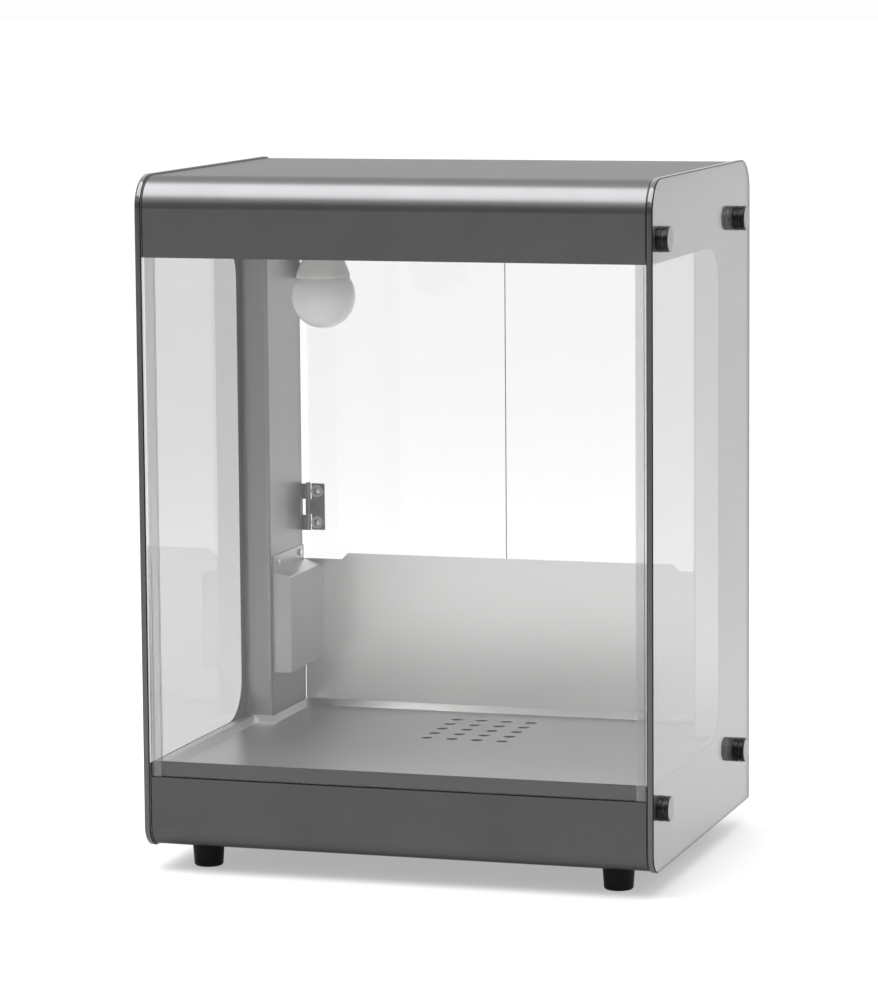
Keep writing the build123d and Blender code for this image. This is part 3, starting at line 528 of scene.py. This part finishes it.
# %% Flat panes from outlines
def corner(centre, radius, start_angle, steps=14):
    """Points of a quarter circle that begins at an angle in degrees."""
    angles = [radians(start_angle + 90 * i / steps) for i in range(steps + 1)]
    return [(centre[0] + radius * cos(a), centre[1] + radius * sin(a)) for a in angles]


def circle(centre, radius, steps=40):
    return [(centre[0] + radius * cos(2 * pi * i / steps), centre[1] + radius * sin(2 * pi * i / steps))
            for i in range(steps)]


def plate(name, loops, thickness, chamfer):
    """A flat plate from closed loops: the first is the outline and the others are holes."""
    curve = bpy.data.curves.new(name, "CURVE")
    curve.dimensions = "2D"
    curve.fill_mode = "BOTH"
    curve.extrude = thickness / 2 - chamfer
    curve.bevel_depth = chamfer
    curve.bevel_resolution = 0
    curve.offset = -chamfer
    for loop in loops:
        spline = curve.splines.new("POLY")
        spline.points.add(len(loop) - 1)
        for point, (a, b) in zip(spline.points, loop):
            point.co = (a, b, 0, 1)
        spline.use_cyclic_u = True
    holder = bpy.data.objects.new(name, curve)
    mesh = bpy.data.meshes.new_from_object(holder)
    bpy.data.objects.remove(holder)
    mesh.name = name
    welded = bmesh.new()
    welded.from_mesh(mesh)
    bmesh.ops.remove_doubles(welded, verts=welded.verts, dist=1e-6)
    bmesh.ops.recalc_face_normals(welded, faces=welded.faces)
    welded.to_mesh(mesh)
    welded.free()
    return mesh


# %% Two side glasses
TOP_RADIUS, BOTTOM_RADIUS, REAR_RADIUS = 30 * MM, 20 * MM, 3 * MM
STUD_HOLE = 3.5 * MM
PRINT_GAP = 0.05 * MM
GROUND = 0.9 * MM
PLAIN, EDGE, ARRIS = 0, 1, 2


def side_glass_outline():
    low_y, high_y, low_z, high_z = glass_low.y, glass_high.y, glass_low.z, glass_high.z
    return (corner((high_y - TOP_RADIUS, high_z - TOP_RADIUS), TOP_RADIUS, 0)
            + corner((low_y + TOP_RADIUS, high_z - TOP_RADIUS), TOP_RADIUS, 90)
            + corner((low_y + BOTTOM_RADIUS, low_z + BOTTOM_RADIUS), BOTTOM_RADIUS, 180)
            + corner((high_y - REAR_RADIUS, low_z + REAR_RADIUS), REAR_RADIUS, 270))


stud_low, stud_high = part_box("knob_collars")
KNOB_RADIUS = 11.5 * MM
stud_spots = [(y, z) for y in (stud_low.y + KNOB_RADIUS, stud_high.y - KNOB_RADIUS)
              for z in (stud_low.z + KNOB_RADIUS, stud_high.z - KNOB_RADIUS)]

for side in ("left", "right"):
    low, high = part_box(f"{side}_side_glass")
    inner = high.x - PRINT_GAP if side == "left" else low.x + PRINT_GAP
    outer = low.x if side == "left" else high.x
    pane = plate(f"{side}_glass", [side_glass_outline()] + [circle(spot, STUD_HOLE) for spot in stud_spots],
                 abs(outer - inner), GROUND)
    upright = Matrix(((0, 0, 1, (outer + inner) / 2), (1, 0, 0, 0), (0, 1, 0, 0), (0, 0, 0, 1)))
    pane.transform(upright)
    for finish in (side_glass_shaded, edge_finish, arris_finish):
        pane.materials.append(finish)
    for face in pane.polygons:
        flatness = abs(face.normal.x)
        face.material_index = PLAIN if flatness > 0.95 else EDGE if flatness < 0.2 else ARRIS
    piece(f"{side}_glass", pane, "root", "tempered_glass", f"{side}_side_glass")
print("side glass chamfered, with", len(stud_spots), "stud holes")

# %% [markdown]
# ### Turned pieces
# Knobs, lamp and feet are round, so each is a profile turned about an axis. The profile holds the
# shape in a few (radius, height) points, and a bevel modifier rounds its corners, as on a moulding.

# %% Turn a profile
def turn(profile, centre, axis, steps=64):
    """Points and faces of a profile of (radius, height) points turned about the x or z axis at centre."""
    across = {"x": ((0, 1, 0), (0, 0, 1), (1, 0, 0)), "z": ((1, 0, 0), (0, 1, 0), (0, 0, 1))}[axis]
    a, b, along = (Vector(v) for v in across)
    points = []
    for radius, height in profile:
        for i in range(steps):
            angle = 2 * pi * i / steps
            spoke = a * radius * cos(angle) + b * radius * sin(angle)
            points.append(Vector(centre) + spoke + along * height)
    faces = []
    for start_of in range(0, (len(profile) - 1) * steps, steps):
        for i in range(steps):
            j = (i + 1) % steps
            faces.append([start_of + i, start_of + j, start_of + steps + j, start_of + steps + i])
    return points, faces


def turned_mesh(name, turnings, sharp=35):
    """One mesh from several turnings: points on the axis merged, smooth but for sharp corners."""
    points, faces = [], []
    for new_points, new_faces in turnings:
        faces += [[i + len(points) for i in face] for face in new_faces]
        points += new_points
    mesh = bpy.data.meshes.new(name)
    mesh.from_pydata(points, [], faces)
    clean = bmesh.new()
    clean.from_mesh(mesh)
    bmesh.ops.remove_doubles(clean, verts=clean.verts, dist=1e-6)
    bmesh.ops.recalc_face_normals(clean, faces=clean.faces)
    clean.to_mesh(mesh)
    clean.free()
    mesh.shade_smooth()
    mesh.set_sharp_from_angle(angle=radians(sharp))
    return mesh


def ease(made, width_mm, segments=3, angle=30):
    """Round the corners of a piece a little, as moulding, bending or deburring does."""
    bevel = made.modifiers.new("eased_edges", "BEVEL")
    bevel.width = width_mm * MM
    bevel.segments = segments
    bevel.limit_method = "ANGLE"
    bevel.angle_limit = radians(angle)
    bevel.harden_normals = True
    return made


# %% [markdown]
# ### Knobs
# A knob has a collar against the glass and a cap, with a groove between them. Both are moulded black,
# with a steel washer in the groove and a steel disc in the cap's end face. One mesh holds the four
# collars and one the four caps, and a face is steel or plastic by its distance from the knob's axis.

# %% Profiles of collar and cap, in millimetres
rim, bore, washer_radius, bevel = KNOB_RADIUS / MM, 3.05, 9.9, 0.9
collar_end = (stud_high.x - stud_low.x) / MM
cap_end = (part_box("knob_caps")[1].x - stud_low.x) / MM
cap_start, groove_end = collar_end + 0.05, collar_end + 1.0
disc_radius = rim - bevel
collar_profile = [(bore, 0), (rim, 0), (rim, collar_end), (washer_radius, collar_end), (bore, collar_end)]
cap_profile = [(0, cap_start), (washer_radius, cap_start), (washer_radius, groove_end), (rim, groove_end),
               (rim, cap_end - bevel), (disc_radius, cap_end), (0, cap_end)]
print("knobs reach", round(cap_end, 2), "mm from the glass")


# %% Four collars and four caps
def from_knob_axis(face):
    """How far a face lies from the axis of its knob, in millimetres."""
    spot = Vector((face.center.y, face.center.z))
    return min((spot - Vector(axis)).length for axis in stud_spots) / MM


for name, profile in (("collars", collar_profile), ("caps", cap_profile)):
    turnings = [turn([(r * MM, h * MM) for r, h in profile], (stud_low.x, y, z), "x") for y, z in stud_spots]
    mesh = turned_mesh(name, turnings)
    mesh.materials.append(made_finishes["black_plastic"])
    mesh.materials.append(knob_disc)
    for face in mesh.polygons:
        away = from_knob_axis(face)
        disc = name == "caps" and face.normal.x > 0.95 and away < disc_radius
        washer = abs(away - washer_radius) < 0.3 and abs(face.normal.x) < 0.5
        face.material_index = 1 if disc or washer else 0
    ease(piece(name, mesh, "root", "black_plastic", f"knob_{name}"), 0.45)
print(len(stud_spots), "knobs of", round(2 * rim, 1), "mm")

# %% [markdown]
# ### Lamp
# The lamp is an A60 bulb. Its opal globe sits on a white collar that narrows to the screw cap. The
# globe is half a circle of points from pole to seam, so it stays smooth up close.

# %% Lamp globe and collar
globe_low, globe_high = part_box("bulb_diffuser")
lamp_axis = ((globe_low.x + globe_high.x) / 2, (globe_low.y + globe_high.y) / 2)
globe_radius = (globe_high.x - globe_low.x) / 2
globe_middle = globe_low.z + globe_radius
seam = globe_high.z
ARC_STEPS, ROUND_STEPS = 40, 96
half_open = pi / 2 + asin((seam - globe_middle) / globe_radius)
arc = [half_open * i / ARC_STEPS for i in range(ARC_STEPS + 1)]
globe_profile = [(globe_radius * sin(a), globe_middle - globe_radius * cos(a)) for a in arc]
seam_radius = globe_profile[-1][0]
globe_profile += [(seam_radius - 1.2 * MM, globe_profile[-1][1])]
globe = turned_mesh("lamp_globe", [turn(globe_profile, (*lamp_axis, 0), "z", ROUND_STEPS)], sharp=50)
piece("lamp_globe", globe, "root", "opal_diffuser", "bulb_diffuser")
print("globe of", round(2 * globe_radius / MM, 1), "mm")

# %% The white collar above the globe
narrowing = [(22.6, 10), (18.6, 20), (15.6, 30), (14.0, 36), (0, 36)]
neck_profile = [(0, 0), (seam_radius - 0.4 * MM, 0), (seam_radius + 0.5 * MM, 1 * MM),
                (seam_radius + 0.3 * MM, 4 * MM)]
neck_profile += [(radius * MM, height * MM) for radius, height in narrowing]
collar = turned_mesh("lamp_collar", [turn(neck_profile, (*lamp_axis, seam), "z", ROUND_STEPS)], sharp=50)
piece("lamp_collar", collar, "root", "white_plastic", "bulb_body")
print("collar narrows from", round(2 * seam_radius / MM, 1), "mm to the screw cap")

# %% [markdown]
# ### Feet
# Each foot is a rubber cone, narrower at the bottom, with a recess for its screw. Its profile runs
# once round the rubber, from the bore over the outside to the recess and back.

# %% Rubber feet
foot_low, foot_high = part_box("feet")
FOOT_TOP, FOOT_BOTTOM, FOOT_COLLAR, FOOT_BEVEL = 14.7 * MM, 13.3 * MM, 3 * MM, 1.2 * MM
SCREW_BORE, RECESS, RECESS_DEPTH = 2.6 * MM, 5.5 * MM, 8 * MM
foot_height = foot_high.z
foot_profile = [(SCREW_BORE, foot_height), (FOOT_TOP, foot_height), (FOOT_TOP, foot_height - FOOT_COLLAR),
                (FOOT_BOTTOM, FOOT_BEVEL), (FOOT_BOTTOM - FOOT_BEVEL, 0), (RECESS, 0), (RECESS, RECESS_DEPTH),
                (SCREW_BORE, RECESS_DEPTH), (SCREW_BORE, foot_height)]
foot_spots = [(x, y) for x in (foot_low.x + FOOT_TOP, foot_high.x - FOOT_TOP)
              for y in (foot_low.y + FOOT_TOP, foot_high.y - FOOT_TOP)]
feet = turned_mesh("rubber_feet", [turn(foot_profile, (x, y, 0), "z") for x, y in foot_spots])
ease(piece("rubber_feet", feet, "root", "foot_rubber", "feet"), 0.6)
print("feet under", [(round(x, 4), round(y, 4)) for x, y in foot_spots])

# %% [markdown]
# ### Floor tray
# The floor is pressed from 1 mm sheet: a flat field with punched holes, and a sloping step up to a rim.
# The step is a closed band of loops that follow the tray's outline round the two posts, and the flat
# field is a plate, whose small chamfer catches the light along the edges of the holes.

# %% Floor tray
SHEET, PLAY = 1.0 * MM, 0.6 * MM
STEP, STEP_DEPTH = 6 * MM, 6 * MM
tray_low, tray_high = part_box("floor_tray")
post_low, post_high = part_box("left_rear_post")
rim_half = (tray_high.x - tray_low.x) / 2
step_half = rim_half - STEP - PLAY
narrow = middle - post_high.x - PLAY
notch = post_low.y - PLAY
floor_z, rim_z = tray_high.z - STEP_DEPTH, tray_high.z


def tray_loop(wide, draw_in, notch_in):
    """The tray's outline, drawn in from its edges, and less so at the notches in front of the posts."""
    front, rear = tray_low.y + draw_in, tray_high.y - draw_in
    inner, corner_y = narrow - draw_in, notch - notch_in
    return [(middle + x, y) for x, y in (
        (-wide, front), (wide, front), (wide, corner_y), (inner, corner_y), (inner, rear),
        (-inner, rear), (-inner, corner_y), (-wide, corner_y))]


bands = [(tray_loop(step_half - STEP, STEP, 1.4 * MM), floor_z),
         (tray_loop(step_half - SHEET, SHEET, 0.6 * MM), rim_z),
         (tray_loop(rim_half, 0, 0), rim_z),
         (tray_loop(rim_half, 0, 0), rim_z - SHEET),
         (tray_loop(step_half, 0, 0), rim_z - SHEET),
         (tray_loop(step_half - 5.4 * MM, 5.4 * MM, 1.0 * MM), floor_z - SHEET)]
points = [(x, y, z) for loop, z in bands for x, y in loop]
corners = len(bands[0][0])
faces = []
for band in range(len(bands)):
    here, after = band * corners, (band + 1) % len(bands) * corners
    for i in range(corners):
        j = (i + 1) % corners
        faces.append([here + i, here + j, after + j, after + i])
rim_mesh = bpy.data.meshes.new("tray_rim")
rim_mesh.from_pydata(points, [], faces)
print("rim and step of", len(bands), "loops with", corners, "corners")

# %% Flat field with holes
HOLE_RADIUS, PITCH = 6 * MM, 24.7 * MM
field = (middle, front_edge + 268 * MM)
holes = [(field[0] + (column - 1.5) * PITCH, field[1] + (row - 2) * PITCH)
         for column in range(4) for row in range(5)]
field_outline = tray_loop(step_half - 5.7 * MM, 5.7 * MM, 1.2 * MM)
flat = plate("tray_floor", [field_outline] + [circle(spot, HOLE_RADIUS) for spot in holes], SHEET, 0.2 * MM)
flat.transform(Matrix.Translation((0, 0, floor_z - SHEET / 2)))
both = bmesh.new()
both.from_mesh(rim_mesh)
both.from_mesh(flat)
bmesh.ops.recalc_face_normals(both, faces=both.faces)
both.to_mesh(flat)
both.free()
flat.materials.append(deep_steel_lit)
ease(piece("tray", flat, "root", "stainless", "floor_tray"), 0.5, angle=32)
print("tray", round(2 * rim_half / MM, 1), "mm wide with", len(holes), "holes")

# %% Write the sizes and finish
low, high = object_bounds()
print("visual model from", [round(v, 4) for v in low], "to", [round(v, 4) for v in high])
